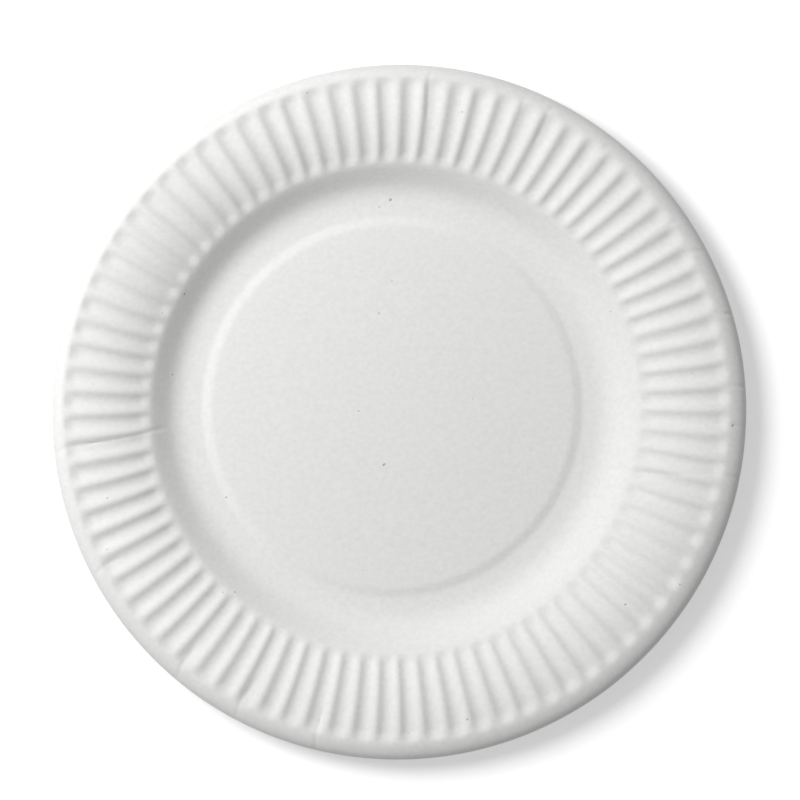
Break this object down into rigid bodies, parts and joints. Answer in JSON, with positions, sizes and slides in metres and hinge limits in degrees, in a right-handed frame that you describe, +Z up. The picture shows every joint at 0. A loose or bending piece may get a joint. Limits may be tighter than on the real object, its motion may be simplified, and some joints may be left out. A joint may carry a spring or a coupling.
{
  "type": "paper plate",
  "caption": "round disposable plate pressed from one sheet of plain paperboard, with a raised centre, a sloping wall, a fluted arched rim and a rolled-down lip",
  "frame": {"origin": "middle of the ring that the plate stands on, level with its underside", "axes": "+Z is up through the middle of the plate, which stands upright; X and Y are level"},
  "size_m": [0.23, 0.23, 0.0156],
  "materials": {
    "paper_board": "matte uncoated white paperboard with fine fibre grain"
  },
  "bodies": {
    "root": {"plate": "paper_board"}
  },
  "joints": []
}
